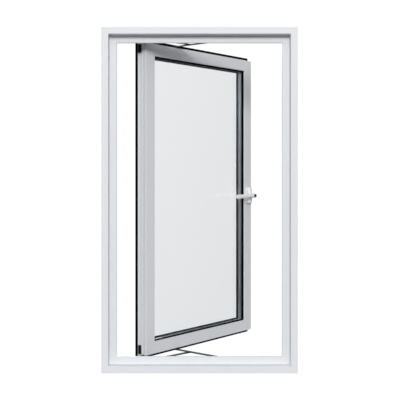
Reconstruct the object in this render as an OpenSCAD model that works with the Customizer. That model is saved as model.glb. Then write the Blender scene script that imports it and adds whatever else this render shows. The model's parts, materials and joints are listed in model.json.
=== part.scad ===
// Aluminium casement window: an outer frame, a glazed sash that opens outwards on a pair of
// friction stays, and a handle with its gearbox, drive rod and locking cams.
// X runs along the width, +Y points outdoors and +Z is up. The origin is the middle of the
// frame's underside. Sections are drawn with n or u, the distance inwards from an edge.

/* [Frame] */
// Overall width of the outer frame
frame_width = 680; // [600:10:900]
// Overall height of the outer frame
frame_height = 1200; // [1000:10:1500]
// Depth of the outer frame, from its room face to its outdoor face
frame_depth = 72; // [72:1:80]
// Width of the hollow box around the frame, seen from the room
frame_box = 24; // [22:1:24]
// Distance from the frame's edge to the inner edge of its rebate lip
lip_edge = 50; // [49:1:52]
// Thickness of the rebate lip
lip_thick = 6; // [4:1:6]
// Wall thickness of the aluminium extrusions
wall = 1.8; // [1.4:0.1:2.2]

/* [Sash] */
// Angle that the sash stands open
sash_angle = 47; // [0:1:55]
// Distance from the frame's edge to the sash's edge when closed
sash_inset = 37.7; // [37.7:0.1:38.5]
// Width of the sash's inner face
sash_face = 44.3; // [44:0.1:46]
// Depth of the sash's hollow box
sash_depth = 38; // [38:1:40]
// Overlap of the sash's outer flange beyond its box
flange = 17; // [14:1:18]
// Thickness of each glass pane
pane_thick = 4; // [3:0.5:4]
// Gap between the two panes
pane_gap = 16; // [12:1:16]

/* [Stays] */
// Distance from the closed sash's hinge edge to the fixed pivot
stay_reach = 422.3; // [420:0.1:425]
// Length of the long arm between its end pivots
long_arm = 266.4; // [260:0.1:270]
// Distance from the fixed pivot to the middle pivot
mid_pivot = 195.3; // [190:0.1:198]
// Length of the short arm between its pivots
short_arm = 182.4; // [180:0.1:186]
// Degrees that the long arm turns for each degree of the sash
arm_ratio = 0.766; // [0.75:0.001:0.78]
// Width of the arms
arm_width = 16; // [14:1:17]
// Radius of the stay's rivets
rivet_r = 3; // [2.5:0.1:3.2]

/* [Handle] */
// Height of the handle's axis above the frame's underside
handle_z = 600; // [500:10:700]
// Distance from the handle's axis to the lever's tip
lever_reach = 116; // [100:1:125]
// Height of the lever's grip
lever_height = 18; // [14:1:20]
// Degrees that the handle is turned from open towards locked
handle_angle = 0; // [0:5:90]

/* [Hidden] */
$fn = 48;

powder_white = [0.88, 0.89, 0.91];
rubber_black = [0.06, 0.06, 0.07];
steel_grey = [0.62, 0.64, 0.66];
glass_tint = [0.75, 0.85, 0.84, 0.4];

// Clearances: between moving bodies, around a rivet or shaft, and around a corner cleat
gap = 0.3;
fit_gap = 0.05;
cleat_gap = 0.15;

// Frame section, with y from the frame's middle
y_room = -frame_depth / 2;
y_out = frame_depth / 2;
lip_y = y_room + 32;
lip_back = lip_y + lip_thick;
sash_y = 5;
nib_reach = 4;
nib_thick = 3;
track_y = 19;

// Sash section, with v from the sash's inner face towards outdoors
box_u = 35;
groove_u = 1.5;
groove_v = [9, 21];
leg_thick = 5;
flange_thick = 3;
glass_v = 14;
glass_back = glass_v + 2 * pane_thick + pane_gap;
glass_u = 37.5;
gasket_u = sash_face + 3.9;
outer_gasket_u = gasket_u + 3.3;
bead_u = [22, 41];
bead_v = 48;
face_round = [1.5, 2.5];
face_bevel = 0.8;
sash_w = frame_width - 2 * sash_inset;
sash_h = frame_height - 2 * sash_inset;

// Stay linkage in plan: fixed pivot, middle pivot, arm end, shoe pivot and nose pivot
hinge_x = -frame_width / 2 + sash_inset;
pivot_v = track_y - sash_y;
arm_angle = sash_angle * arm_ratio;
fixed_pt = [hinge_x + stay_reach, track_y];
bar_u = stay_reach - long_arm;
nose_u = -2.5;
function along(p, len, ang) = [p.x + len * cos(ang), p.y + len * sin(ang)];
mid_pt = along(fixed_pt, mid_pivot, 180 - arm_angle);
end_pt = along(fixed_pt, long_arm, 180 - arm_angle);
short_angle = asin((mid_pt.y - track_y) / short_arm);
shoe_pt = along(mid_pt, short_arm, 180 + short_angle);
nose_pt = along(end_pt, nose_u - bar_u, sash_angle);
nose_link = stay_reach - mid_pivot - short_arm - nose_u;
nose_angle = atan2(shoe_pt.y - nose_pt.y, shoe_pt.x - nose_pt.x);

// Heights of the stay's layers above the frame's edge
track_z = frame_box;
track_base = 1.2;
track_top = track_z + 4.5;
low_z = 29.4;
high_z = 31.6;
arm_t = 2;
bar_z = 35.2;
head_r = 5;
head_t = 1;
bar_width = 14;
track_start = hinge_x - 9.7;
track_end = fixed_pt.x + 34;

// Handle and lock places on the sash
handle_u = sash_w - 24.8;
base_w = 24;
base_h = 66;
base_depth = 18;
cover_wall = 1.8;
spindle_bore_r = 5;
hub_r = 9.5;
hub_front = -41;
neck_r = 7.5;
neck_reach = 30;
button_r = 6;
spindle_half = 3;
screw_rise = 21.5;
handle_screw_r = 2.5;
rod_v = 18;
rod_w = 16;
rod_t = 2;
cam_z = [handle_z - 260, handle_z + 260];
cam_r = 3.5;
cam_reach = 7.9;
pitch_r = 12;
turn_travel = pitch_r * PI / 2;
rod_lift = pitch_r * handle_angle * PI / 180;
slot_half = 9.5;
boss_r = 5.4;
tooth_half = 3;
case_z = [handle_z - 55, handle_z + 75];
case_u = 3.5;
case_back = sash_w - 32;
case_v = [9, 31];
case_wall = 1.2;

fixing_z = [150, 600, 1050];
fixing_r = 4;

// Countersunk screws of the tracks, bars and keeps
screw_r = 2;
screw_head_r = 3.6;
screw_len = 11;

// ---- shapes that repeat ----

// A bar with its section in X and Y, mitred at both ends; lo and hi bound the section in X
module mitred(len, lo, hi, relief = 0) {
    intersection() {
        translate([0, 0, lo]) linear_extrude(len - 2 * lo) children();
        translate([0, 200, 0]) rotate([90, 0, 0]) linear_extrude(400)
            polygon([[lo, lo + relief], [hi, hi + relief], [hi, len - hi - relief],
                     [lo, len - lo - relief]]);
    }
}

module at_left(w, h, lo, hi, relief = 0) mitred(h, lo, hi, relief) children();
module at_right(w, h, lo, hi, relief = 0)
    translate([w, 0, 0]) mirror([1, 0, 0]) mitred(h, lo, hi, relief) children();
module at_bottom(w, h, lo, hi, relief = 0)
    translate([w, 0, 0]) rotate([0, -90, 0]) mitred(w, lo, hi, relief) children();
module at_top(w, h, lo, hi, relief = 0)
    translate([0, 0, h]) mirror([0, 0, 1]) at_bottom(w, h, lo, hi, relief) children();

// Four bars round a rectangle, kept apart by a hair at the mitres
module four_bars(w, h, lo, hi) {
    at_left(w, h, lo, hi, fit_gap) children();
    at_right(w, h, lo, hi, fit_gap) children();
    at_bottom(w, h, lo, hi, fit_gap) children();
    at_top(w, h, lo, hi, fit_gap) children();
}

module in_frame() translate([-frame_width / 2, 0, 0]) children();

// The sash's own axes: u along X, v along Y and z from the sash's lower edge
module in_sash() {
    translate([end_pt.x, end_pt.y, 0]) rotate([0, 0, sash_angle])
        translate([-bar_u, -pivot_v, 0]) children();
}
module on_sash() in_sash() translate([0, 0, sash_inset]) children();

module upside_down() translate([0, 0, frame_height]) mirror([0, 0, 1]) children();

// The handle's axes: origin on the sash's face, turned about the spindle
module on_handle() in_sash() translate([handle_u, 0, handle_z]) rotate([0, -handle_angle, 0]) children();

module slab(x, y, z) translate([x[0], y[0], z[0]]) cube([x[1] - x[0], y[1] - y[0], z[1] - z[0]]);

module disc(r, z) translate([0, 0, z[0]]) cylinder(r = r, h = z[1] - z[0]);

// Square hole for the spindle, with y its extent along the handle's axis
module spindle_hole(y) slab([-spindle_half - fit_gap, spindle_half + fit_gap], y,
                            [-spindle_half - fit_gap, spindle_half + fit_gap]);

// A cylinder along Y
module post(r, y) translate([0, y[1], 0]) rotate([90, 0, 0]) cylinder(r = r, h = y[1] - y[0]);

// A cylinder along X
module peg(r, x) translate([x[0], 0, 0]) rotate([0, 90, 0]) cylinder(r = r, h = x[1] - x[0]);

module strip(len, width, z) {
    slab([0, len], [-width / 2, width / 2], z);
    disc(width / 2, z);
    translate([len, 0, 0]) disc(width / 2, z);
}

module round_rect(w, h, r) {
    square([w - 2 * r, h], center = true);
    square([w, h - 2 * r], center = true);
    for (x = [-1, 1], y = [-1, 1]) translate([x * (w / 2 - r), y * (h / 2 - r)]) circle(r);
}

// Hollow L of a corner cleat, its legs lying in a box section from lo to hi
cleat_wall = 4;
module cleat(lo, hi, leg, y) {
    translate([0, y[1], 0]) rotate([90, 0, 0]) linear_extrude(y[1] - y[0]) difference() {
        polygon([[lo, lo], [leg, lo], [leg, hi], [hi, hi], [hi, leg], [lo, leg]]);
        polygon([[lo + cleat_wall, lo + cleat_wall], [leg - cleat_wall, lo + cleat_wall],
                 [leg - cleat_wall, hi - cleat_wall], [hi - cleat_wall, hi - cleat_wall],
                 [hi - cleat_wall, leg - cleat_wall], [lo + cleat_wall, leg - cleat_wall]]);
    }
}

module four_cleats(w, h, lo, hi, leg, y) {
    cleat(lo, hi, leg, y);
    translate([w, 0, 0]) mirror([1, 0, 0]) cleat(lo, hi, leg, y);
    translate([0, 0, h]) mirror([0, 0, 1]) {
        cleat(lo, hi, leg, y);
        translate([w, 0, 0]) mirror([1, 0, 0]) cleat(lo, hi, leg, y);
    }
}

// ---- outer frame ----

module frame_section() {
    difference() {
        polygon([[0, y_room + 0.8], [0.8, y_room], [frame_box - 1.2, y_room],
                 [frame_box, y_room + 1.2], [frame_box, lip_y], [lip_edge - 1.5, lip_y],
                 [lip_edge, lip_y + 1.5], [lip_edge, lip_back], [frame_box, lip_back],
                 [frame_box, y_out - nib_thick], [frame_box + nib_reach, y_out - nib_thick],
                 [frame_box + nib_reach, y_out], [0, y_out]]);
        polygon([[wall, y_room + wall], [frame_box - wall, y_room + wall],
                 [frame_box - wall, y_out - wall], [wall, y_out - wall]]);
    }
}

track_screw_x = [track_start + 16, (track_start + track_end) / 2, track_end - 10];
module track_screw_holes() for (x = track_screw_x) translate([x, track_y, 0])
    disc(screw_r + fit_gap, [frame_box - wall - 1, frame_box + 1]);

drain_x = [-170, 170];
module drain_slots() for (x = drain_x) slab([x - 12, x + 12], [y_out - 5, y_out + 1], [6, 11]);

module frame_sill() color(powder_white) difference() {
    in_frame() at_bottom(frame_width, frame_height, 0, lip_edge) frame_section();
    track_screw_holes();
    drain_slots();
}

module frame_head() color(powder_white) difference() {
    in_frame() at_top(frame_width, frame_height, 0, lip_edge) frame_section();
    upside_down() track_screw_holes();
}

module fixing_holes(side) for (z = fixing_z) translate([0, track_y, z])
    peg(fixing_r, side < 0 ? [-frame_width / 2 - 1, -frame_width / 2 + frame_box + 1]
                           : [frame_width / 2 - frame_box - 1, frame_width / 2 + 1]);

module frame_jamb_hinge() color(powder_white) difference() {
    in_frame() at_left(frame_width, frame_height, 0, lip_edge) frame_section();
    fixing_holes(-1);
}

keep_holes = [-14, 36];
module frame_jamb_lock() color(powder_white) difference() {
    in_frame() at_right(frame_width, frame_height, 0, lip_edge) frame_section();
    fixing_holes(1);
    for (z = cam_z, dz = keep_holes) translate([0, track_y, z + dz])
        peg(screw_r + fit_gap, [frame_width / 2 - frame_box - 1, frame_width / 2 - frame_box + wall + 1]);
}

module frame_corner_cleats() color(steel_grey) in_frame()
    four_cleats(frame_width, frame_height, wall + cleat_gap, frame_box - wall - cleat_gap, 62,
                [y_room + wall + cleat_gap, track_y - 5]);

// Rubber strip on the outdoor side of the rebate lip
module frame_seal() color(rubber_black) in_frame()
    four_bars(frame_width, frame_height, lip_edge - 9, lip_edge - 1)
        polygon([[lip_edge - 9, lip_back], [lip_edge - 1, lip_back], [lip_edge - 2, sash_y - gap],
                 [lip_edge - 7, sash_y - gap]]);

module drain_hood(x) translate([x, y_out, 8.5]) {
    translate([0, 2, 0]) rotate([90, 0, 0]) linear_extrude(2) round_rect(40, 13, 3);
    translate([0, 4, 2]) rotate([90, 0, 0]) linear_extrude(2.5) round_rect(30, 7, 2);
}
module drain_hoods() color(powder_white) for (x = drain_x) drain_hood(x);

// ---- stay tracks, screws and fixed rivets ----

module stay_track() {
    difference() {
        translate([track_start, track_y, 0]) rotate([90, 0, 90])
            linear_extrude(track_end - track_start)
            polygon([[-9, track_z], [9, track_z], [9, track_top], [5.5, track_top],
                     [5.5, track_top - 1.1], [7.5, track_top - 1.1], [7.5, track_z + track_base],
                     [-7.5, track_z + track_base], [-7.5, track_top - 1.1],
                     [-5.5, track_top - 1.1], [-5.5, track_top], [-9, track_top]]);
        for (x = track_screw_x) translate([x, track_y, 0]) disc(screw_head_r, [track_z - 1, track_z + 2]);
    }
}
module stay_track_bottom() color(steel_grey) stay_track();
module stay_track_top() color(steel_grey) upside_down() stay_track();

module screws_of_track() for (x = track_screw_x) translate([x, track_y, 0]) {
    disc(screw_head_r - fit_gap, [track_z, track_z + track_base]);
    disc(screw_r, [track_z - screw_len, track_z]);
}
module track_screws() color(steel_grey) {
    screws_of_track();
    upside_down() screws_of_track();
}

// Rivet of the long arm: a washer on the track, and a head flush in the arm's counterbore
module fixed_rivet() translate([fixed_pt.x, fixed_pt.y, 0]) {
    disc(5.3, [track_z + track_base, high_z - fit_gap]);
    disc(rivet_r, [high_z - fit_gap, high_z + arm_t - head_t]);
    disc(head_r, [high_z + arm_t - head_t, high_z + arm_t]);
}
module track_rivets() color(steel_grey) {
    fixed_rivet();
    upside_down() fixed_rivet();
}

// ---- arms, shoes and nose links ----

module bore(z) disc(rivet_r + fit_gap, z);
module top_counterbore(z) disc(head_r + fit_gap, [z + arm_t - head_t - fit_gap, z + arm_t + 1]);
module under_counterbore(z) disc(head_r + fit_gap, [z - 1, z + head_t + fit_gap]);

module long_arm_flat() {
    translate([fixed_pt.x, fixed_pt.y, 0]) rotate([0, 0, 180 - arm_angle]) difference() {
        strip(long_arm, arm_width, [high_z, high_z + arm_t]);
        bore([high_z - 1, high_z + arm_t + 1]);
        top_counterbore(high_z);
        translate([mid_pivot, 0, 0]) disc(rivet_r, [high_z - 1, high_z + arm_t + 1]);
        translate([long_arm, 0, 0]) {
            bore([high_z - 1, high_z + arm_t + 1]);
            under_counterbore(high_z);
        }
    }
}
module long_arm_bottom() color(steel_grey) long_arm_flat();
module long_arm_top() color(steel_grey) upside_down() long_arm_flat();

module mid_rivet() translate([mid_pt.x, mid_pt.y, 0]) {
    disc(head_r, [low_z, low_z + head_t]);
    disc(rivet_r, [low_z + head_t, high_z + arm_t]);
    disc(head_r, [high_z + arm_t, high_z + arm_t + 0.8]);
}
module arm_rivets() color(steel_grey) {
    mid_rivet();
    upside_down() mid_rivet();
}

module short_arm_flat() {
    translate([mid_pt.x, mid_pt.y, 0]) rotate([0, 0, 180 + short_angle]) difference() {
        strip(short_arm, arm_width, [low_z, low_z + arm_t]);
        bore([low_z - 1, low_z + arm_t + 1]);
        under_counterbore(low_z);
        translate([short_arm, 0, 0]) {
            bore([low_z - 1, low_z + arm_t + 1]);
            top_counterbore(low_z);
        }
    }
}
module short_arm_bottom() color(steel_grey) short_arm_flat();
module short_arm_top() color(steel_grey) upside_down() short_arm_flat();

// Plastic shoe that slides in the track, with the pin that the short arm turns on
module slide_shoe() translate([shoe_pt.x, shoe_pt.y, 0]) {
    slab([-17, 17], [-6.5, 6.5], [track_z + track_base + 0.25, track_top - 1.35]);
    slab([-14, 14], [-4.4, 4.4], [track_top - 1.35, low_z - 0.2]);
    disc(rivet_r, [low_z - 0.2, low_z + arm_t - head_t]);
    disc(head_r, [low_z + arm_t - head_t, low_z + arm_t]);
}
module slide_shoe_bottom() color(rubber_black) slide_shoe();
module slide_shoe_top() color(rubber_black) upside_down() slide_shoe();

// Link from the nose of the sash bar to above the shoe, where it carries its own rivet head
module nose_link_flat() {
    translate([nose_pt.x, nose_pt.y, 0]) rotate([0, 0, nose_angle]) {
        difference() {
            strip(nose_link, 12, [high_z, high_z + arm_t]);
            bore([high_z - 1, high_z + arm_t + 1]);
            under_counterbore(high_z);
        }
        translate([nose_link, 0, 0]) disc(4, [high_z + arm_t, high_z + arm_t + 0.8]);
    }
}
module nose_link_bottom() color(steel_grey) nose_link_flat();
module nose_link_top() color(steel_grey) upside_down() nose_link_flat();

// ---- sash ----

module sash_section() {
    difference() {
        polygon(concat(
            [for (a = [0 : 30 : 90]) [face_round.x * (1 - cos(a)), face_round.y * (1 - sin(a))]],
            [[sash_face - face_bevel, 0], [sash_face, face_bevel], [sash_face, leg_thick],
             [box_u, leg_thick], [box_u, sash_depth], [-flange, sash_depth],
             [-flange, sash_depth - flange_thick], [0, sash_depth - flange_thick],
             [0, groove_v[1]], [groove_u, groove_v[1] - groove_u],
             [groove_u, groove_v[0] + groove_u], [0, groove_v[0]]]));
        polygon([[wall + groove_u, wall], [box_u - wall, wall], [box_u - wall, sash_depth - wall],
                 [wall + groove_u, sash_depth - wall]]);
    }
}

bar_screw_u = [30, 80, 120, 190];
module bar_screw_holes() for (u = bar_screw_u) translate([u, pivot_v, 0])
    disc(screw_r + fit_gap, [-1, wall + groove_u + 1]);

module sash_bottom_rail() color(powder_white) on_sash() difference() {
    at_bottom(sash_w, sash_h, -flange, sash_face) sash_section();
    bar_screw_holes();
}
module sash_top_rail() color(powder_white) on_sash() difference() {
    at_top(sash_w, sash_h, -flange, sash_face) sash_section();
    translate([0, 0, sash_h]) mirror([0, 0, 1]) bar_screw_holes();
}
module sash_hinge_stile() color(powder_white) on_sash()
    at_left(sash_w, sash_h, -flange, sash_face) sash_section();

// The lock stile has a hole for the spindle, two for the handle's screws and the rod's slot
module sash_lock_stile() color(powder_white) difference() {
    on_sash() at_right(sash_w, sash_h, -flange, sash_face) sash_section();
    in_sash() translate([handle_u, 0, handle_z]) {
        post(6, [-1, wall + 1]);
        for (s = [-1, 1]) translate([0, 0, s * screw_rise]) post(handle_screw_r + fit_gap, [-1, wall + 1]);
    }
    in_sash() slab([sash_w - wall - groove_u - 1, sash_w + 1], [rod_v - 4.5, rod_v + 4.5],
                   [handle_z - slot_half, handle_z + turn_travel + slot_half]);
}

module sash_corner_cleats() color(steel_grey) on_sash()
    four_cleats(sash_w, sash_h, wall + groove_u + cleat_gap, box_u - wall - cleat_gap, 70,
                [pivot_v + 5, sash_depth - wall - cleat_gap]);

module pane(v) color(glass_tint) on_sash() slab([glass_u, sash_w - glass_u], v, [glass_u, sash_h - glass_u]);
module inner_pane() pane([glass_v, glass_v + pane_thick]);
module outer_pane() pane([glass_back - pane_thick, glass_back]);

module between_panes(u0, u1) on_sash() four_bars(sash_w, sash_h, u0, u1)
    polygon([[u0, glass_v + pane_thick], [u1, glass_v + pane_thick],
             [u1, glass_back - pane_thick], [u0, glass_back - pane_thick]]);
module spacer_bars() color(steel_grey) between_panes(glass_u + 3.6, glass_u + 9.5);
module edge_seal() color(rubber_black) between_panes(glass_u, glass_u + 3.5);

module inner_gasket() color(rubber_black) on_sash() four_bars(sash_w, sash_h, box_u + 2, gasket_u)
    polygon([[box_u + 2, leg_thick], [sash_face - 1, leg_thick], [gasket_u, leg_thick + 2],
             [gasket_u, glass_v - 1.5], [gasket_u - 1.5, glass_v], [box_u + 2, glass_v]]);

module outer_gasket() color(rubber_black) on_sash()
    four_bars(sash_w, sash_h, bead_u[1] + 0.1, outer_gasket_u)
        polygon([[bead_u[1] + 0.1, glass_back], [outer_gasket_u - 1.5, glass_back],
                 [outer_gasket_u, glass_back + 1.5], [outer_gasket_u, bead_v - 4],
                 [outer_gasket_u - 4, bead_v - 0.5], [bead_u[1] + 0.1, bead_v - 0.5]]);

// Snap-in bead that holds the glass from outdoors
module glazing_beads() color(powder_white) on_sash() four_bars(sash_w, sash_h, bead_u[0], bead_u[1])
    polygon([[bead_u[0], sash_depth + 0.1], [box_u + 0.2, sash_depth + 0.1],
             [box_u + 0.2, glass_back + 1], [bead_u[1], glass_back + 1],
             [bead_u[1], bead_v - 1.5], [bead_u[1] - 1.5, bead_v], [bead_u[0] + 2, bead_v],
             [bead_u[0], bead_v - 2]]);

module sash_rim_seal() color(rubber_black) on_sash() four_bars(sash_w, sash_h, -flange, 8 - flange)
    polygon([[-flange + 1, sash_depth - flange_thick], [-flange + 8, sash_depth - flange_thick],
             [-flange + 6.5, y_out - sash_y + gap], [-flange + 2, y_out - sash_y + gap]]);

module setting_blocks() color(rubber_black) on_sash() for (u = [110, sash_w - 210])
    slab([u, u + 100], [glass_v, glass_back], [box_u, glass_u]);

// Black blocks that guard the hinge stile's edge just past each stay
module edge_guard() slab([-6, 0], [23.5, sash_depth - flange_thick], [sash_inset + 3, sash_inset + 34]);
module edge_guards() color(rubber_black) {
    in_sash() edge_guard();
    upside_down() in_sash() edge_guard();
}

// ---- sash bars of the stays ----

module sash_bar() in_sash() difference() {
    translate([nose_u, pivot_v, 0]) strip(205 - nose_u, bar_width, [bar_z, sash_inset]);
    for (u = bar_screw_u) translate([u, pivot_v, 0]) disc(screw_head_r, [bar_z - 1, sash_inset + 1]);
    for (u = [nose_u, bar_u]) translate([u, pivot_v, 0]) disc(rivet_r, [bar_z - 1, sash_inset + 1]);
}
module sash_bar_bottom() color(steel_grey) sash_bar();
module sash_bar_top() color(steel_grey) upside_down() sash_bar();

module screws_of_bar() in_sash() for (u = bar_screw_u) translate([u, pivot_v, 0]) {
    disc(screw_head_r - fit_gap, [bar_z, sash_inset]);
    disc(screw_r, [sash_inset, sash_inset + screw_len]);
}
module sash_bar_screws() color(steel_grey) {
    screws_of_bar();
    upside_down() screws_of_bar();
}

// Each rivet hangs the arm or the link below the bar, with a washer between them
module rivets_of_bar() in_sash() for (u = [nose_u, bar_u]) translate([u, pivot_v, 0]) {
    disc(rivet_r, [high_z + head_t, sash_inset]);
    disc(head_r, [high_z, high_z + head_t]);
    disc(6, [high_z + arm_t + fit_gap, bar_z]);
}
module sash_bar_rivets() color(steel_grey) {
    rivets_of_bar();
    upside_down() rivets_of_bar();
}

// ---- gearbox, rod and cams ----

module gearbox_case() color(steel_grey) in_sash() difference() {
    slab([case_back, sash_w - case_u], case_v, case_z);
    slab([case_back + case_wall, sash_w - case_u - case_wall],
         [case_v[0] + case_wall, case_v[1] - case_wall],
         [case_z[0] + case_wall, case_z[1] - case_wall]);
    translate([handle_u, 0, handle_z]) post(boss_r + fit_gap, [case_v[0] - 1, case_v[1] + 1]);
    slab([sash_w - case_u - case_wall - 1, sash_w], [rod_v - 4.5, rod_v + 4.5],
         [handle_z - slot_half, handle_z + turn_travel + slot_half]);
}

// Trapezoid teeth: slim enough to leave backlash on both sides
tooth_pitch = 30;
module sector_tooth(ang) rotate([0, ang, 0]) translate([0, rod_v + tooth_half, 0]) rotate([90, 0, 0])
    linear_extrude(2 * tooth_half) polygon([[8, -1.9], [9.9, -1.7], [12, -1.05], [13.6, -0.55],
                                            [13.6, 0.55], [12, 1.05], [9.9, 1.7], [8, 1.9]]);
module gear_sector() color(steel_grey) on_handle() difference() {
    union() {
        post(boss_r, [8.5, 31.2]);
        intersection() {
            post(9.4, [rod_v - tooth_half, rod_v + tooth_half]);
            slab([-3.8, 10], [rod_v - tooth_half, rod_v + tooth_half], [-10, 3.8]);
        }
        for (i = [0 : 3]) sector_tooth(tooth_pitch * i);
    }
    spindle_hole([0, 40]);
}

rack_x = handle_u + pitch_r;
rack_step = 2 * PI * pitch_r * tooth_pitch / 360;
module rack_tooth(z) translate([rack_x, rod_v + tooth_half, z]) rotate([90, 0, 0])
    linear_extrude(2 * tooth_half)
    polygon([[2.3, -1.8], [1.9, -1.65], [0, -1.1], [-1.6, -0.55], [-1.6, 0.55], [0, 1.1],
             [1.9, 1.65], [2.3, 1.8]]);
module drive_rod() color(steel_grey) in_sash() translate([0, 0, rod_lift]) {
    slab([sash_w + gap, sash_w + gap + rod_t], [rod_v - rod_w / 2, rod_v + rod_w / 2],
         [cam_z[0] - 30, cam_z[1] + 30]);
    slab([rack_x + 2, sash_w + gap], [rod_v - tooth_half, rod_v + tooth_half],
         [handle_z - 8, handle_z + 8]);
    slab([rack_x + 2, rack_x + 6], [rod_v - tooth_half, rod_v + tooth_half],
         [handle_z - 3.5 * rack_step, handle_z + 2.5 * rack_step]);
    for (i = [-3 : 1]) rack_tooth(handle_z + (i + 0.5) * rack_step);
}

module lock_cams() color(steel_grey) in_sash() for (z = cam_z)
    translate([sash_w + gap + rod_t, rod_v, z + rod_lift]) {
        peg(2.5, [0, cam_reach - 2]);
        peg(cam_r, [cam_reach - 4.5, cam_reach]);
    }

// Keeps on the lock jamb: the wall stands outdoors of the cam once the rod has moved up
module lock_keep(z) {
    x_face = frame_width / 2 - frame_box;
    keep_y = sash_y + rod_v + cam_r + 0.5;
    difference() {
        slab([x_face - 2, x_face], [track_y - 8, track_y + 12.5], [z - 22, z + 44]);
        for (dz = keep_holes) translate([0, track_y, z + dz])
            peg(screw_r + fit_gap, [x_face - 3, x_face + 1]);
    }
    slab([x_face - 10.5, x_face - 2], [keep_y, keep_y + 4], [z + 8, z + turn_travel + 10]);
}
module lock_keeps() color(steel_grey) for (z = cam_z) lock_keep(z);
module keep_screws() color(steel_grey) for (z = cam_z, dz = keep_holes)
    translate([frame_width / 2 - frame_box, track_y, z + dz]) {
        peg(screw_r, [-2, screw_len - 1]);
        peg(screw_head_r, [-3.2, -2]);
    }

// ---- handle ----

module handle_base() color(steel_grey) in_sash() translate([handle_u, 0, handle_z]) difference() {
    rotate([90, 0, 0]) linear_extrude(4) round_rect(base_w - 4, base_h - 4, 4);
    post(spindle_bore_r, [-5, 1]);
    for (s = [-1, 1]) translate([0, 0, s * screw_rise]) post(handle_screw_r + fit_gap, [-5, 1]);
}

module handle_screws() color(steel_grey) in_sash() for (s = [-1, 1])
    translate([handle_u, 0, handle_z + s * screw_rise]) {
        post(handle_screw_r, [-4, 8]);
        post(4.4, [-6.6, -4]);
    }

module handle_cover() color(powder_white) in_sash() translate([handle_u, 0, handle_z]) difference() {
    union() {
        translate([0, -0.1, 0]) rotate([90, 0, 0]) linear_extrude(base_depth - cover_wall)
            round_rect(base_w, base_h, 6);
        rotate([90, 0, 0]) linear_extrude(base_depth) round_rect(base_w - 3, base_h - 3, 5);
    }
    translate([0, 1, 0]) rotate([90, 0, 0]) linear_extrude(base_depth - cover_wall + 1)
        round_rect(base_w - 2 * cover_wall, base_h - 2 * cover_wall, 4.2);
    post(spindle_bore_r, [-base_depth - 1, 1]);
}

// Lever: a round hub and a grip that leans off it and thickens towards its tip
module handle_lever() color(powder_white) on_handle() difference() {
    union() {
        post(hub_r, [hub_front, -base_depth - gap]);
        hull() {
            post(neck_r, [hub_front, hub_front + 13]);
            translate([-neck_reach, 0, 0]) post(neck_r, [hub_front, hub_front + 11]);
        }
        hull() {
            translate([-neck_reach, 0, 0]) post(neck_r, [hub_front, hub_front + 11]);
            translate([-lever_reach + lever_height / 2, 0, 0])
                post(lever_height / 2, [hub_front + 1, hub_front + 11]);
        }
    }
    post(button_r + fit_gap, [hub_front - 1, hub_front + 7]);
    spindle_hole([-32, 0]);
}

module spindle() color(steel_grey) on_handle()
    slab([-spindle_half, spindle_half], [-31.5, 31], [-spindle_half, spindle_half]);

module lock_button() color(rubber_black) on_handle() {
    post(button_r, [hub_front - 4, hub_front + 3.5]);
    post(button_r - 0.9, [hub_front - 5, hub_front - 4]);
}

frame_head();
frame_sill();
frame_jamb_hinge();
frame_jamb_lock();
frame_corner_cleats();
frame_seal();
stay_track_top();
stay_track_bottom();
track_screws();
track_rivets();
lock_keeps();
keep_screws();
drain_hoods();
long_arm_top();
long_arm_bottom();
arm_rivets();
short_arm_top();
short_arm_bottom();
slide_shoe_top();
slide_shoe_bottom();
nose_link_top();
nose_link_bottom();
sash_top_rail();
sash_bottom_rail();
sash_hinge_stile();
sash_lock_stile();
sash_corner_cleats();
inner_pane();
outer_pane();
spacer_bars();
edge_seal();
inner_gasket();
outer_gasket();
glazing_beads();
sash_rim_seal();
setting_blocks();
sash_bar_top();
sash_bar_bottom();
sash_bar_screws();
sash_bar_rivets();
edge_guards();
gearbox_case();
handle_base();
handle_screws();
handle_cover();
handle_lever();
spindle();
gear_sector();
drive_rod();
lock_cams();
lock_button();
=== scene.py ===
import json
import math

import bmesh
import bpy
import numpy as np
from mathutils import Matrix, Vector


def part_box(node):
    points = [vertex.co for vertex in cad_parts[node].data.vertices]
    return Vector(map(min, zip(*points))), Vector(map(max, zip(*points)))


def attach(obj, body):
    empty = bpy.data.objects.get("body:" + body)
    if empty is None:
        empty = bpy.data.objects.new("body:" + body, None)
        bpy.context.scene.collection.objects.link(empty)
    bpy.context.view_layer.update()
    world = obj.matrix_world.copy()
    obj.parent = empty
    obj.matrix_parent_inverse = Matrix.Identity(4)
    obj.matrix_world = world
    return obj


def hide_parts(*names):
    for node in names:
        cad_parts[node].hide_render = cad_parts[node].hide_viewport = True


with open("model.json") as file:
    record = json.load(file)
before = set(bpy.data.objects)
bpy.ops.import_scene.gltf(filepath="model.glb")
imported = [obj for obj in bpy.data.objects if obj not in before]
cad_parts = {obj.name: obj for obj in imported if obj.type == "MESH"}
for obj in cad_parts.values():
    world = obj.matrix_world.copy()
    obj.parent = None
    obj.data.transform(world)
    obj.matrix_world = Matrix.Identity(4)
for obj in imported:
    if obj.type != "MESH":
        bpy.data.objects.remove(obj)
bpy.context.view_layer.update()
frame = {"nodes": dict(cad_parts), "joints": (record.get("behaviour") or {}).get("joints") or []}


# View and light: a person's eye two and a half metres indoors, a little above the handle. A
# broad lamp far behind the eye and above it lights the room side, and another the outdoor side.
eye = bpy.data.cameras.new("eye")
eye.sensor_width = 36.0
eye.lens = 64.46
eye.shift_x = 0.014
eye.shift_y = -0.068
eye_place = bpy.data.objects.new("eye", eye)
eye_place.location = (-0.0178, -2.517, 0.6945)
eye_place.rotation_euler = (math.pi / 2, 0.0, 0.0)
bpy.context.scene.collection.objects.link(eye_place)
bpy.context.scene.camera = eye_place
bpy.context.scene.view_settings.view_transform = "Standard"


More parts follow.
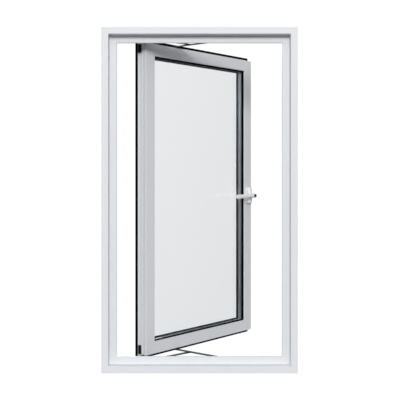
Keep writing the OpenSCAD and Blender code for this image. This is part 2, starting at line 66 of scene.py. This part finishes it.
def lamp(name, watts, size, place, target):
    """A square area lamp of side size at place, facing target."""
    light = bpy.data.lights.new(name, "AREA")
    light.energy = watts
    light.size = size
    stand = bpy.data.objects.new(name, light)
    stand.location = place
    way = np.array(target) - np.array(place)
    stand.rotation_euler = (
        math.atan2(math.hypot(way[0], way[1]), -way[2]), 0.0, math.atan2(-way[0], way[1]))
    bpy.context.scene.collection.objects.link(stand)


WINDOW_MIDDLE = (0.0, 0.1, 0.6)
lamp("room_lamp", 385.0, 2.1, (0.0, -8.0, 3.65), WINDOW_MIDDLE)
lamp("outdoor_lamp", 250.0, 1.8, (-1.6, 5.5, 2.2), WINDOW_MIDDLE)


def add(tree, kind, settings=None, links=None):
    """Adds one node, sets its inputs or properties by name, and links its inputs by name."""
    made = tree.nodes.new(kind)
    for name, value in (settings or {}).items():
        if name in made.inputs:
            made.inputs[name].default_value = value
        else:
            setattr(made, name, value)
    for name, source in (links or {}).items():
        tree.links.new(source, made.inputs[name])
    return made


# Surroundings: plain white to the eye, straight or through the glass. Their light on the
# window is weaker, and weaker still from below and from outdoors.
WHITE_SEEN = 1.02
sky = bpy.data.worlds.new("studio")
sky.use_nodes = True
sky_tree = sky.node_tree
sky_tree.nodes.clear()
ray = add(sky_tree, "ShaderNodeLightPath")
bounces = add(sky_tree, "ShaderNodeMath", {"operation": "ADD"})
sky_tree.links.new(ray.outputs["Diffuse Depth"], bounces.inputs[0])
sky_tree.links.new(ray.outputs["Glossy Depth"], bounces.inputs[1])
seen = add(sky_tree, "ShaderNodeMath", {"operation": "LESS_THAN"})
sky_tree.links.new(bounces.outputs[0], seen.inputs[0])
way = add(sky_tree, "ShaderNodeSeparateXYZ", {},
          {"Vector": add(sky_tree, "ShaderNodeTexCoord").outputs["Generated"]})
height = add(sky_tree, "ShaderNodeMapRange",
             {"From Min": -0.35, "From Max": 0.25, "To Min": 0.0, "To Max": 0.8},
             {"Value": way.outputs["Z"]})
side = add(sky_tree, "ShaderNodeMapRange",
           {"From Min": -0.6, "From Max": 0.3, "To Min": 1.0, "To Max": 0.2},
           {"Value": way.outputs["Y"]})
fill = add(sky_tree, "ShaderNodeMath", {"operation": "MULTIPLY"})
sky_tree.links.new(height.outputs["Result"], fill.inputs[0])
sky_tree.links.new(side.outputs["Result"], fill.inputs[1])
glow = add(sky_tree, "ShaderNodeMapRange", {"To Max": WHITE_SEEN},
           {"Value": seen.outputs[0], "To Min": fill.outputs[0]})
backdrop = add(sky_tree, "ShaderNodeBackground", {"Color": (1.0, 1.0, 1.0, 1.0)},
               {"Strength": glow.outputs["Result"]})
add(sky_tree, "ShaderNodeOutputWorld", {}, {"Surface": backdrop.outputs[0]})
bpy.context.scene.world = sky


def linear(colour):
    """An sRGB hex colour as linear red, green, blue and alpha 1, by the sRGB curve."""
    srgb = np.array([int(colour[i:i + 2], 16) for i in (1, 3, 5)]) / 255
    rgb = np.where(srgb <= 0.04045, srgb / 12.92, ((srgb + 0.055) / 1.055) ** 2.4)
    return (*rgb.tolist(), 1.0)


def finish(name, colour, spread, grain, **shader):
    """A material whose colour drifts in brightness by spread over patches of size grain, in
    metres. Returns its tree, its shader and the Object coordinates."""
    material = bpy.data.materials.new(name)
    material.use_nodes = True
    tree = material.node_tree
    tree.nodes.clear()
    where = add(tree, "ShaderNodeTexCoord").outputs["Object"]
    patch = add(tree, "ShaderNodeTexNoise", {"Scale": 1 / grain, "Detail": 3.0}, {"Vector": where})
    level = add(tree, "ShaderNodeMapRange", {"To Min": 1 - spread, "To Max": 1 + spread},
                {"Value": patch.outputs["Fac"]})
    tint = add(tree, "ShaderNodeHueSaturation", {"Color": linear(colour)},
               {"Value": level.outputs["Result"]})
    skin = add(tree, "ShaderNodeBsdfPrincipled", shader, {"Base Color": tint.outputs["Color"]})
    add(tree, "ShaderNodeOutputMaterial", {}, {"Surface": skin.outputs["BSDF"]})
    return material, tree, skin, where


def roughen(tree, skin, where, size, height, stretch=(1.0, 1.0, 1.0), turn=0.0):
    """Raises a noise bump of that size and height, in metres, stretched along its own axes,
    which may be turned about Z."""
    laid = add(tree, "ShaderNodeMapping", {"Scale": stretch, "Rotation": (0.0, 0.0, turn)},
               {"Vector": where})
    grit = add(tree, "ShaderNodeTexNoise", {"Scale": 1 / size, "Detail": 2.0},
               {"Vector": laid.outputs["Vector"]})
    bump = add(tree, "ShaderNodeBump", {"Strength": 1.0, "Distance": height},
               {"Height": grit.outputs["Fac"]})
    tree.links.new(bump.outputs["Normal"], skin.inputs["Normal"])


# Floor: a mid-grey matt screed well below the window, which hangs at sill height in its wall.
FLOOR_DROP = 0.9
FLOOR_SIDE = 3.2
screed, screed_tree, screed_skin, screed_where = finish(
    "pale_screed", "#AEAFB1", 0.02, 0.4, Roughness=0.85)
roughen(screed_tree, screed_skin, screed_where, 0.004, 0.0004)
half = FLOOR_SIDE / 2
floor_mesh = bpy.data.meshes.new("floor")
floor_mesh.from_pydata(
    [(-half, -half, -FLOOR_DROP), (half, -half, -FLOOR_DROP), (half, half, -FLOOR_DROP),
     (-half, half, -FLOOR_DROP)], [], [(0, 1, 2, 3)])
floor_mesh.materials.append(screed)
floor = bpy.data.objects.new("floor", floor_mesh)
bpy.context.scene.collection.objects.link(floor)


# Outer frame: two jambs, a head and a sill, cut from one hollow aluminium extrusion, mitred
# and powder coated white. The coat softens every arris and lies in a faint orange peel.
coat, coat_tree, coat_skin, coat_where = finish(
    "polyester_powder_coat", "#E4E6EA", 0.012, 0.09, Roughness=0.5)
coat_skin.inputs["Specular IOR Level"].default_value = 0.35
# Orange peel is about 1 mm across; it is drawn at 3 mm so that it shows.
roughen(coat_tree, coat_skin, coat_where, 0.003, 0.00004)
MM = 0.001


def eased(node, radius, material, body, segments=2):
    """A copy of a CAD node with its triangles joined, its flat faces made whole and its sharp
    edges rounded to radius. Large faces set the shading at their edges, so they look flat. The
    copy stands for the node and rides on its body."""
    mesh = frame["nodes"][node].data.copy()
    shape = bmesh.new()
    shape.from_mesh(mesh)
    bmesh.ops.remove_doubles(shape, verts=shape.verts, dist=1e-6)
    bmesh.ops.dissolve_limit(
        shape, angle_limit=math.radians(0.5), verts=shape.verts, edges=shape.edges)
    shape.to_mesh(mesh)
    shape.free()
    mesh.shade_smooth()
    mesh.materials.clear()
    mesh.materials.append(material)
    piece = bpy.data.objects.new(node + "_eased", mesh)
    bpy.context.scene.collection.objects.link(piece)
    edge = piece.modifiers.new("edge_radius", "BEVEL")
    edge.width = radius
    edge.segments = segments
    edge.limit_method = "ANGLE"
    edge.angle_limit = math.radians(35)
    flat = piece.modifiers.new("flat_faces", "WEIGHTED_NORMAL")
    flat.keep_sharp = True
    flat.weight = 100
    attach(piece, body)
    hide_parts(node)
    return piece


for member in ("frame_head", "frame_sill", "frame_jamb_hinge", "frame_jamb_lock"):
    eased(member, 0.5 * MM, coat, "frame")


# Drain hoods: small moulded covers over the two weep slots in the sill's outdoor face.
plastic_white, hood_tree, hood_skin, hood_where = finish(
    "moulded_abs", "#E6E8EA", 0.01, 0.02, Roughness=0.3)
roughen(hood_tree, hood_skin, hood_where, 0.0015, 0.00002)
eased("drain_hoods", 0.6 * MM, plastic_white, "frame", segments=3)


# Corner cleats: mill-finish aluminium angles pushed into the hollow corners of both frames.
# Extrusion leaves faint lines along them.
mill, mill_tree, mill_skin, mill_where = finish(
    "mill_aluminium", "#C2C5C9", 0.03, 0.03, Metallic=1.0, Roughness=0.38)
roughen(mill_tree, mill_skin, mill_where, 0.0012, 0.00003, (1.0, 12.0, 1.0))


def refinish(node, material):
    """Gives a CAD node that stays its better material."""
    for place in frame["nodes"][node].material_slots:
        place.material = material


refinish("frame_corner_cleats", mill)
refinish("sash_corner_cleats", mill)


# Rubber seals: black EPDM extrusions, one behind the frame's lip and one on the sash's flange.
# Each is a bulb on a foot, joined at the mitres, and the sash's also wraps the flange's tip.
epdm, epdm_tree, epdm_skin, epdm_where = finish(
    "epdm_rubber", "#060708", 0.25, 0.012, Roughness=0.8)
epdm_skin.inputs["Specular IOR Level"].default_value = 0.03
roughen(epdm_tree, epdm_skin, epdm_where, 0.0016, 0.00005)

joints = {joint["name"]: joint for joint in frame["joints"]}
nose_pin = np.array(joints["nose_link_turn"]["pos_m"])
arm_pin = np.array(joints["sash_swing"]["pos_m"])
PIN_U = -2.5 * MM
PIN_V = 14.0 * MM
sash_u = (arm_pin - nose_pin) / np.linalg.norm(arm_pin - nose_pin)
sash_v = np.array([-sash_u[1], sash_u[0], 0.0])


def on_sash(points):
    """Points given along the sash (u), outdoors from its inner face (v) and up (z), in metres,
    as points in the row frame with the sash at rest."""
    u, v, z = np.asarray(points, float).T
    flat = nose_pin[:2] + np.outer(u - PIN_U, sash_u[:2]) + np.outer(v - PIN_V, sash_v[:2])
    return np.column_stack([flat, z])


def rounded(outline, radius, steps=5):
    """A closed outline with each corner C replaced by the curve (1-t)^2 A + 2t(1-t) C + t^2 B,
    where A and B lie radius away on its two sides, or less on a short side."""
    corner = np.asarray(outline, float)
    back = np.roll(corner, 1, 0) - corner
    ahead = np.roll(corner, -1, 0) - corner
    back_len = np.linalg.norm(back, axis=1, keepdims=True)
    ahead_len = np.linalg.norm(ahead, axis=1, keepdims=True)
    reach = np.minimum(radius, 0.45 * np.minimum(back_len, ahead_len))
    start = corner + back / back_len * reach
    end = corner + ahead / ahead_len * reach
    t = np.linspace(0, 1, steps)[None, :, None]
    arcs = (1 - t) ** 2 * start[:, None] + 2 * t * (1 - t) * corner[:, None] + t ** 2 * end[:, None]
    return arcs.reshape(-1, 2)


def shell(name, points, faces, material, crease=35.0):
    """A closed mesh from points and faces, with doubled points merged and normals outwards."""
    mesh = bpy.data.meshes.new(name)
    mesh.from_pydata(points.tolist(), [], faces.tolist())
    shape = bmesh.new()
    shape.from_mesh(mesh)
    bmesh.ops.remove_doubles(shape, verts=shape.verts, dist=1e-7)
    bmesh.ops.recalc_face_normals(shape, faces=shape.faces)
    shape.to_mesh(mesh)
    shape.free()
    mesh.shade_smooth()
    mesh.set_sharp_from_angle(angle=math.radians(crease))
    mesh.materials.append(material)
    piece = bpy.data.objects.new(name, mesh)
    bpy.context.scene.collection.objects.link(piece)
    return piece


def grid_faces(rows, columns, wrap_rows, wrap_columns):
    """Quads between neighbouring points of a grid, wrapping round in either direction."""
    i = np.arange(rows if wrap_rows else rows - 1)[:, None]
    j = np.arange(columns if wrap_columns else columns - 1)[None, :]
    down, right = (i + 1) % rows, (j + 1) % columns
    quads = [i * columns + j, down * columns + j, down * columns + right, i * columns + right]
    return np.stack(np.broadcast_arrays(*quads), -1).reshape(-1, 4)


def ring(name, outline, low, high, material, place=None):
    """Carries an outline of inward distance and depth round the rectangle from low to high.
    At each corner the inward distance counts along both sides, which makes the mitre."""
    inward, depth = outline.T
    corner_x = np.array([low[0], high[0], high[0], low[0]])[:, None]
    corner_z = np.array([low[1], low[1], high[1], high[1]])[:, None]
    sign_x = np.array([1, -1, -1, 1])[:, None]
    sign_z = np.array([1, 1, -1, -1])[:, None]
    points = np.stack([corner_x + sign_x * inward, np.tile(depth, (4, 1)),
                       corner_z + sign_z * inward], -1).reshape(-1, 3)
    if place:
        points = place(points)
    return shell(name, points, grid_faces(4, len(outline), True, True), material)


frame_low, frame_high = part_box("frame_head")
frame_corner = (frame_low.x, 0.0)
frame_far = (frame_high.x, frame_high.z)
SASH_INSET = 37.7 * MM
sash_w = frame_far[0] - frame_corner[0] - 2 * SASH_INSET
sash_corner = (0.0, SASH_INSET)
sash_far = (sash_w, frame_far[1] - SASH_INSET)

lip_seal = rounded(np.array([
    [41.2, 2.0], [48.8, 2.0], [48.8, 2.9], [47.6, 3.4], [47.9, 4.2], [45.6, 4.68],
    [43.0, 4.66], [42.2, 4.1], [42.6, 3.4], [41.2, 2.9]]) * MM, 0.5 * MM)
piece = ring("lip_seal", lip_seal, frame_corner, frame_far, epdm)
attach(piece, "frame")
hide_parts("frame_seal")

rim_seal = rounded(np.array([
    [-17.05, 34.95], [-9.2, 34.95], [-9.2, 34.1], [-10.0, 33.6], [-9.6, 32.5], [-10.8, 31.4],
    [-14.2, 31.4], [-15.6, 32.2], [-15.4, 33.4], [-17.8, 33.8], [-17.8, 37.0],
    [-17.05, 37.3]]) * MM, 0.4 * MM)
piece = ring("rim_seal", rim_seal, sash_corner, sash_far, epdm, on_sash)
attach(piece, "sash")
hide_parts("sash_rim_seal")


# Sash: two stiles and two rails from a lighter hollow extrusion, mitred and coated as the
# frame is. The stile edge carries a shallow hardware groove.
for member in ("sash_top_rail", "sash_bottom_rail", "sash_hinge_stile", "sash_lock_stile"):
    eased(member, 0.5 * MM, coat, "sash")
eased("glazing_beads", 0.4 * MM, coat, "sash")


# Sealed glass unit: two 4 mm float panes, 16 mm apart, on a folded aluminium spacer whose
# outer channel is filled with black sealant. The glass is clear and barely wavy, with weak
# reflections, as there is no room round the window for it to mirror.
glass, glass_tree, glass_skin, glass_where = finish(
    "float_glass", "#FAFBFC", 0.002, 0.3, Roughness=0.0)
glass_skin.inputs["Transmission Weight"].default_value = 1.0
glass_skin.inputs["Specular IOR Level"].default_value = 0.06
roughen(glass_tree, glass_skin, glass_where, 0.12, 0.00001)
refinish("inner_pane", glass)
refinish("outer_pane", glass)

anodised, anodised_tree, anodised_skin, anodised_where = finish(
    "anodised_spacer", "#DCE6EC", 0.05, 0.01, Metallic=0.85, Roughness=0.3)
roughen(anodised_tree, anodised_skin, anodised_where, 0.001, 0.00003)
spacer = rounded(np.array([
    [41.1, 18.0], [46.6, 18.0], [47.0, 18.6], [47.0, 23.4], [46.6, 23.8], [46.6, 28.2],
    [47.0, 28.6], [47.0, 33.4], [46.6, 34.0], [41.1, 34.0]]) * MM, 0.4 * MM)
piece = ring("spacer", spacer, sash_corner, sash_far, anodised, on_sash)
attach(piece, "sash")
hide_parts("spacer_bars")

butyl, butyl_tree, butyl_skin, butyl_where = finish(
    "butyl_sealant", "#101113", 0.2, 0.006, Roughness=0.7)
roughen(butyl_tree, butyl_skin, butyl_where, 0.002, 0.0001)
refinish("edge_seal", butyl)


# Glazing gaskets: a wedge gasket against the inner pane and one against the outer, each with
# a fine lip on the glass and shallow ribs along its visible side.
inner_wedge = rounded(np.array([
    [37.0, 5.0], [43.3, 5.0], [47.4, 6.2], [48.2, 7.6], [47.7, 8.6], [48.2, 9.6], [47.7, 10.6],
    [48.2, 11.6], [48.2, 12.8], [47.2, 14.0], [37.0, 14.0]]) * MM, 0.5 * MM)
piece = ring("inner_wedge", inner_wedge, sash_corner, sash_far, epdm, on_sash)
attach(piece, "sash")
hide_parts("inner_gasket")

outer_wedge = rounded(np.array([
    [41.1, 38.0], [50.6, 38.0], [51.5, 38.9], [51.5, 40.2], [51.0, 41.0], [51.5, 41.8],
    [51.0, 43.4], [47.6, 47.2], [41.1, 47.5]]) * MM, 0.5 * MM)
piece = ring("outer_wedge", outer_wedge, sash_corner, sash_far, epdm, on_sash)
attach(piece, "sash")
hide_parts("outer_gasket")


# Plastic blocks: glass-filled nylon setting blocks under the glass, edge guards beside the
# stays, and the shoes that slide in the tracks. The moulding leaves a fine matt texture.
nylon, nylon_tree, nylon_skin, nylon_where = finish(
    "black_nylon", "#0B0C0D", 0.2, 0.01, Roughness=0.5)
nylon_skin.inputs["Specular IOR Level"].default_value = 0.3
roughen(nylon_tree, nylon_skin, nylon_where, 0.0012, 0.00004)
refinish("setting_blocks", nylon)
eased("edge_guards", 1.0 * MM, nylon, "sash", segments=3)
for end in ("top", "bottom"):
    eased("slide_shoe_" + end, 0.5 * MM, nylon, "slide_shoes")


# Friction stays: stainless steel tracks, arms, links and sash bars, blanked from strip that
# was brushed along its length. One finish is laid along each part's own direction.
def brushed(name, toward):
    """Stainless strip with its grain along a direction in plan, its colour darkened far below bare
    steel as painted shade.
    """
    turn = -math.atan2(toward[1], toward[0])
    # The dark grey base colour is painted shade: bare stainless is much lighter, and this stands in
    # for the shade and dark reflections on the thin tracks and arms.
    steel, tree, skin, where = finish(name, "#4E5053", 0.05, 0.02, Metallic=1.0, Roughness=0.34)
    # Brush lines are 0.1 mm apart; they are drawn at 0.6 mm so that they show.
    roughen(tree, skin, where, 0.0006, 0.00002, (0.04, 1.0, 1.0), turn)
    return steel


fixed_pin = np.array(joints["long_arm_turn"]["pos_m"])
mid_pin = np.array(joints["short_arm_turn"]["pos_m"])
shoe_pin = np.array(joints["shoe_turn"]["pos_m"])
along_track = brushed("stainless_along_track", (1.0, 0.0))
along_long_arm = brushed("stainless_along_long_arm", arm_pin - fixed_pin)
along_short_arm = brushed("stainless_along_short_arm", shoe_pin - mid_pin)
along_link = brushed("stainless_along_link", shoe_pin - nose_pin)
along_sash = brushed("stainless_along_sash", sash_u)
for end in ("top", "bottom"):
    eased("stay_track_" + end, 0.2 * MM, along_track, "frame")
    eased("long_arm_" + end, 0.3 * MM, along_long_arm, "long_arms")
    eased("short_arm_" + end, 0.3 * MM, along_short_arm, "short_arms")
    eased("nose_link_" + end, 0.3 * MM, along_link, "nose_links")
    eased("sash_bar_" + end, 0.3 * MM, along_sash, "sash")
eased("track_rivets", 0.25 * MM, along_track, "frame")
eased("arm_rivets", 0.3 * MM, along_long_arm, "long_arms")
eased("sash_bar_rivets", 0.25 * MM, along_sash, "sash")
refinish("track_screws", along_track)
refinish("sash_bar_screws", along_sash)


# Lock: zinc-plated steel keeps on the jamb, and a rod with rack and two cams on the stile's
# edge, driven by a toothed sector in a thin case. Zinc has a soft mottled spangle.
zinc, zinc_tree, zinc_skin, zinc_where = finish(
    "zinc_plate", "#B4B8BA", 0.08, 0.006, Metallic=1.0, Roughness=0.36)
roughen(zinc_tree, zinc_skin, zinc_where, 0.002, 0.00003)
eased("lock_keeps", 0.4 * MM, zinc, "frame")
eased("keep_screws", 0.5 * MM, zinc, "frame", segments=3)
eased("drive_rod", 0.3 * MM, zinc, "lock_rod")
eased("lock_cams", 0.5 * MM, zinc, "lock_rod", segments=3)
for hidden in ("gearbox_case", "gear_sector", "spindle", "handle_base", "handle_screws"):
    refinish(hidden, zinc)


# Handle: zinc die castings, powder coated. A domed cover hides the fixing plate, and a lever
# with a round hub turns on it. The grip droops a little and swells towards its tip.
cast, cast_tree, cast_skin, cast_where = finish(
    "coated_die_casting", "#F8F8F7", 0.01, 0.03, Roughness=0.22)
roughen(cast_tree, cast_skin, cast_where, 0.003, 0.00003)
handle_pin = np.array(joints["handle_turn"]["pos_m"])
HANDLE_U = float((handle_pin - nose_pin) @ sash_u) + PIN_U


def on_handle(points):
    """Points given along the lever (a), up (b) and out from the sash's face (c), in metres,
    from the handle's axis, as points in the row frame."""
    a, b, c = np.asarray(points, float).T
    return on_sash(np.column_stack([HANDLE_U - a, -c, handle_pin[2] + b]))


def superellipse(half_a, half_b, power, steps):
    """Outline a = half_a |cos|^(2/power), b = half_b |sin|^(2/power), with their signs."""
    turn = np.linspace(0, 2 * np.pi, steps, endpoint=False)
    a = np.sign(np.cos(turn)) * np.abs(np.cos(turn)) ** (2 / power)
    b = np.sign(np.sin(turn)) * np.abs(np.sin(turn)) ** (2 / power)
    return np.asarray(half_a)[..., None] * a, np.asarray(half_b)[..., None] * b


# The cover rises straight for COVER_WALL, then rounds over a quarter ellipse to its flat top.
COVER_HALF = (12.0 * MM, 33.0 * MM)
COVER_WALL = 11.0 * MM
COVER_TOP = 18.0 * MM
COVER_INSET = 5.0 * MM
turn = np.linspace(0, np.pi / 2, 9)
inset = np.concatenate([[0, 0], COVER_INSET * (1 - np.cos(turn)), [COVER_INSET + 4 * MM]])
rise = np.concatenate([[0.2 * MM, COVER_WALL * 0.5],
                       COVER_WALL + (COVER_TOP - COVER_WALL) * np.sin(turn), [COVER_TOP]])
side_a, side_b = superellipse(COVER_HALF[0] - inset, COVER_HALF[1] - inset, 5.0, 96)
rows = np.stack([side_a, side_b, np.broadcast_to(rise[:, None], side_a.shape)], -1)
foot = np.broadcast_to([0, 0, rise[0]], rows[:1].shape)
crown = np.broadcast_to([0, 0, rise[-1]], rows[:1].shape)
rows = np.concatenate([foot, rows, crown])
piece = shell("handle_dome", on_handle(rows.reshape(-1, 3)),
              grid_faces(len(rows), 96, False, True), cast)
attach(piece, "sash")
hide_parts("handle_cover")


def turned(profile, steps=64):
    """Revolves points of radius and height about the handle's axis."""
    radius, height = np.asarray(profile, float).T
    turn = np.linspace(0, 2 * np.pi, steps, endpoint=False)
    points = np.stack([np.outer(radius, np.cos(turn)), np.outer(radius, np.sin(turn)),
                       np.broadcast_to(height[:, None], (len(radius), steps))], -1)
    return points.reshape(-1, 3), grid_faces(len(radius), steps, False, True)


# Lever: sections across the grip, with half height and half depth that swell with distance
# and close on a round end, joined to the hub and blended into it as a casting is.
LEVER_REACH = 115.5 * MM
LEVER_DROOP = 3.0 * MM
hub_points, hub_faces = turned(np.array([
    [0.0, 18.4], [8.6, 18.4], [9.1, 18.9], [9.1, 20.2], [8.3, 21.2], [7.9, 22.6], [7.9, 25.6],
    [8.5, 27.6], [9.1, 29.0], [9.3, 31.0], [9.3, 39.6], [8.9, 40.6], [8.1, 41.0], [6.7, 41.0],
    [6.4, 40.6], [6.4, 34.4], [0.0, 34.4]]) * MM)
along = np.concatenate([np.linspace(-6 * MM, 0.9 * LEVER_REACH, 30)[:-1],
                        LEVER_REACH * (0.9 + 0.1 * np.sin(np.linspace(0, np.pi / 2, 12)))])
share = np.clip(along / LEVER_REACH, 0, 1)
close = np.sqrt(np.clip(1 - (np.clip(share - 0.9, 0, 1) / 0.1) ** 2, 0, 1))
half_b = (6.9 + 2.0 * share ** 1.4) * MM * close
half_c = (5.6 - 0.8 * share) * MM * np.sqrt(close)
section_b, section_c = superellipse(half_b, half_c, 3.0, 48)
middle_b = -LEVER_DROOP * share ** 1.5
middle_c = (35.0 + 0.3 * share) * MM
lever_rows = np.stack([np.broadcast_to(along[:, None], section_b.shape),
                       section_b + middle_b[:, None], section_c + middle_c[:, None]], -1)
root = np.broadcast_to([along[0], 0, middle_c[0]], lever_rows[:1].shape)
lever_rows = np.concatenate([root, lever_rows])
lever_faces = grid_faces(len(lever_rows), 48, False, True)
points = np.concatenate([hub_points, lever_rows.reshape(-1, 3)])
faces = np.concatenate([hub_faces, lever_faces + len(hub_points)])
piece = shell("lever_casting", on_handle(points), faces, cast, 60.0)
blend = piece.modifiers.new("one_casting", "REMESH")
blend.mode = "VOXEL"
blend.voxel_size = 0.55 * MM
blend.use_smooth_shade = True
ease = piece.modifiers.new("blended", "SMOOTH")
ease.factor = 0.5
ease.iterations = 5
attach(piece, "handle")
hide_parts("handle_lever")


# Lock button: a black nylon push button with a domed face, set in the hub's end.
button_points, button_faces = turned(np.array([
    [0.0, 37.6], [5.95, 37.6], [5.95, 43.6], [5.6, 44.4], [4.6, 44.9], [2.6, 45.2],
    [0.0, 45.3]]) * MM)
piece = shell("push_button", on_handle(button_points), button_faces, nylon)
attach(piece, "button")
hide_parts("lock_button")
